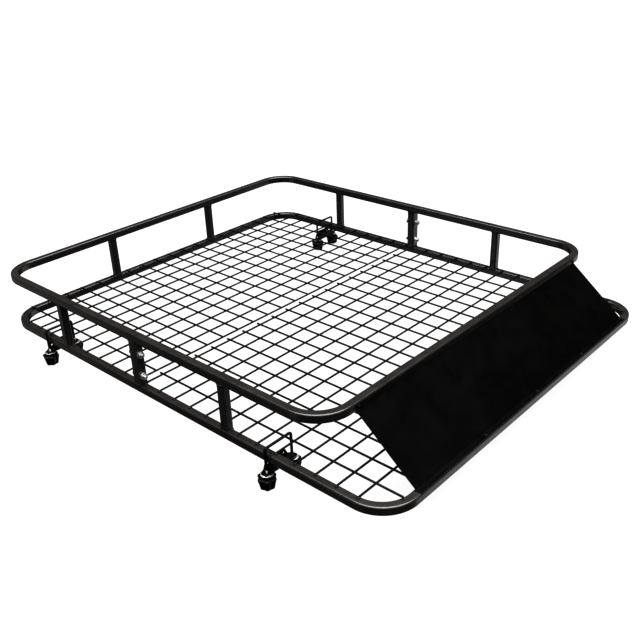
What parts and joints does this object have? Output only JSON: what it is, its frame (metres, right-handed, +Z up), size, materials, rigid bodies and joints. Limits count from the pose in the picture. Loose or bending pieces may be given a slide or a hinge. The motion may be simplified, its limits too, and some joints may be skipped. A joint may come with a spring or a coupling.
{
  "type": "roof cargo basket",
  "caption": "Roof cargo basket of square steel tube with a welded wire floor, a sloping front fairing and U-bolt clamps with star knobs; it bolts together from two halves.",
  "frame": {"origin": "under the middle of the basket's bounding box, level with the bottoms of the knobs", "axes": "+X towards the vehicle's front, where the fairing is; +Y towards the vehicle's left side; +Z up"},
  "size_m": [1.238, 1.061, 0.1985],
  "materials": {
    "black_steel": "satin black powder coat on square steel tube",
    "black_wire": "semi-gloss black powder coat on welded steel wire",
    "black_sheet": "satin black powder coat on sheet steel",
    "black_rod": "black coated steel rod with bare rolled threads",
    "black_plastic": "moulded black plastic",
    "zinc": "bright zinc plating"
  },
  "bodies": {
    "frame": {"fairing": "black_sheet", "fairing_screw_corner_left": "black_steel", "fairing_screw_corner_right": "black_steel", "fairing_screw_foot_left": "black_steel", "fairing_screw_foot_middle": "black_steel", "fairing_screw_foot_right": "black_steel", "fairing_strut_left": "black_steel", "fairing_strut_right": "black_steel", "joint_bolt_left_lower": "zinc", "joint_bolt_left_upper": "zinc", "joint_bolt_right_lower": "zinc", "joint_bolt_right_upper": "zinc", "joint_nut_left_lower": "zinc", "joint_nut_left_upper": "zinc", "joint_nut_right_lower": "zinc", "joint_nut_right_upper": "zinc", "joint_plate_left": "black_steel", "joint_plate_right": "black_steel", "joint_post_left": "black_steel", "joint_post_right": "black_steel", "joint_washer_left_lower": "zinc", "joint_washer_left_upper": "zinc", "joint_washer_right_lower": "zinc", "joint_washer_right_upper": "zinc", "lower_rail_front": "black_steel", "lower_rail_rear": "black_steel", "mesh_panel_front": "black_wire", "mesh_panel_rear": "black_wire", "rear_post_left": "black_steel", "rear_post_right": "black_steel", "side_post_left_front": "black_steel", "side_post_left_rear": "black_steel", "side_post_right_front": "black_steel", "side_post_right_rear": "black_steel", "top_rail_front": "black_steel", "top_rail_rear": "black_steel"},
    "u_bolt_body_right_front": {"u_bolt_right_front": "black_rod"},
    "channel_body_right_front": {"clamp_channel_right_front": "black_sheet", "clamp_washer_right_front_outer": "zinc", "clamp_washer_right_front_inner": "zinc"},
    "knob_body_right_front_outer": {"knob_right_front_outer": "black_plastic"},
    "knob_body_right_front_inner": {"knob_right_front_inner": "black_plastic"},
    "u_bolt_body_right_rear": {"u_bolt_right_rear": "black_rod"},
    "channel_body_right_rear": {"clamp_channel_right_rear": "black_sheet", "clamp_washer_right_rear_outer": "zinc", "clamp_washer_right_rear_inner": "zinc"},
    "knob_body_right_rear_outer": {"knob_right_rear_outer": "black_plastic"},
    "knob_body_right_rear_inner": {"knob_right_rear_inner": "black_plastic"},
    "u_bolt_body_left_front": {"u_bolt_left_front": "black_rod"},
    "channel_body_left_front": {"clamp_channel_left_front": "black_sheet", "clamp_washer_left_front_outer": "zinc", "clamp_washer_left_front_inner": "zinc"},
    "knob_body_left_front_outer": {"knob_left_front_outer": "black_plastic"},
    "knob_body_left_front_inner": {"knob_left_front_inner": "black_plastic"},
    "u_bolt_body_left_rear": {"u_bolt_left_rear": "black_rod"},
    "channel_body_left_rear": {"clamp_channel_left_rear": "black_sheet", "clamp_washer_left_rear_outer": "zinc", "clamp_washer_left_rear_inner": "zinc"},
    "knob_body_left_rear_outer": {"knob_left_rear_outer": "black_plastic"},
    "knob_body_left_rear_inner": {"knob_left_rear_inner": "black_plastic"}
  },
  "joints": [
    {"name": "right_front_clamp_slide", "type": "slide", "parent": "frame", "child": "u_bolt_body_right_front", "axis": [1, 0, 0], "range_m": [-0.032, 0.0065]},
    {"name": "right_front_channel_travel", "type": "slide", "parent": "u_bolt_body_right_front", "child": "channel_body_right_front", "axis": [0, 0, 1], "range_m": [-0.015, 0]},
    {"name": "right_front_outer_knob_turn", "type": "hinge", "parent": "channel_body_right_front", "child": "knob_body_right_front_outer", "pos_m": [0.329, -0.513, 0], "axis": [0, 0, 1], "range_deg": [-5400, 0]},
    {"name": "right_front_inner_knob_turn", "type": "hinge", "parent": "channel_body_right_front", "child": "knob_body_right_front_inner", "pos_m": [0.329, -0.443, 0], "axis": [0, 0, 1], "range_deg": [-5400, 0]},
    {"name": "right_rear_clamp_slide", "type": "slide", "parent": "frame", "child": "u_bolt_body_right_rear", "axis": [1, 0, 0], "range_m": [0, 0.0385]},
    {"name": "right_rear_channel_travel", "type": "slide", "parent": "u_bolt_body_right_rear", "child": "channel_body_right_rear", "axis": [0, 0, 1], "range_m": [-0.015, 0]},
    {"name": "right_rear_outer_knob_turn", "type": "hinge", "parent": "channel_body_right_rear", "child": "knob_body_right_rear_outer", "pos_m": [-0.4275, -0.513, 0], "axis": [0, 0, 1], "range_deg": [-5400, 0]},
    {"name": "right_rear_inner_knob_turn", "type": "hinge", "parent": "channel_body_right_rear", "child": "knob_body_right_rear_inner", "pos_m": [-0.4275, -0.443, 0], "axis": [0, 0, 1], "range_deg": [-5400, 0]},
    {"name": "left_front_clamp_slide", "type": "slide", "parent": "frame", "child": "u_bolt_body_left_front", "axis": [1, 0, 0], "range_m": [-0.0133, 0.0255]},
    {"name": "left_front_channel_travel", "type": "slide", "parent": "u_bolt_body_left_front", "child": "channel_body_left_front", "axis": [0, 0, 1], "range_m": [-0.009, 0]},
    {"name": "left_front_outer_knob_turn", "type": "hinge", "parent": "channel_body_left_front", "child": "knob_body_left_front_outer", "pos_m": [0.36, 0.513, 0], "axis": [0, 0, 1], "range_deg": [-3240, 0]},
    {"name": "left_front_inner_knob_turn", "type": "hinge", "parent": "channel_body_left_front", "child": "knob_body_left_front_inner", "pos_m": [0.36, 0.443, 0], "axis": [0, 0, 1], "range_deg": [-3240, 0]},
    {"name": "left_rear_clamp_slide", "type": "slide", "parent": "frame", "child": "u_bolt_body_left_rear", "axis": [1, 0, 0], "range_m": [-0.0265, 0.012]},
    {"name": "left_rear_channel_travel", "type": "slide", "parent": "u_bolt_body_left_rear", "child": "channel_body_left_rear", "axis": [0, 0, 1], "range_m": [-0.015, 0]},
    {"name": "left_rear_outer_knob_turn", "type": "hinge", "parent": "channel_body_left_rear", "child": "knob_body_left_rear_outer", "pos_m": [-0.401, 0.513, 0], "axis": [0, 0, 1], "range_deg": [-5400, 0]},
    {"name": "left_rear_inner_knob_turn", "type": "hinge", "parent": "channel_body_left_rear", "child": "knob_body_left_rear_inner", "pos_m": [-0.401, 0.443, 0], "axis": [0, 0, 1], "range_deg": [-5400, 0]}
  ],
  "couplings": [
    {"joint": "right_front_outer_knob_turn", "follows": "right_front_channel_travel", "rad_per_m": 6283.2},
    {"joint": "right_front_inner_knob_turn", "follows": "right_front_channel_travel", "rad_per_m": 6283.2},
    {"joint": "right_rear_outer_knob_turn", "follows": "right_rear_channel_travel", "rad_per_m": 6283.2},
    {"joint": "right_rear_inner_knob_turn", "follows": "right_rear_channel_travel", "rad_per_m": 6283.2},
    {"joint": "left_front_outer_knob_turn", "follows": "left_front_channel_travel", "rad_per_m": 6283.2},
    {"joint": "left_front_inner_knob_turn", "follows": "left_front_channel_travel", "rad_per_m": 6283.2},
    {"joint": "left_rear_outer_knob_turn", "follows": "left_rear_channel_travel", "rad_per_m": 6283.2},
    {"joint": "left_rear_inner_knob_turn", "follows": "left_rear_channel_travel", "rad_per_m": 6283.2}
  ]
}
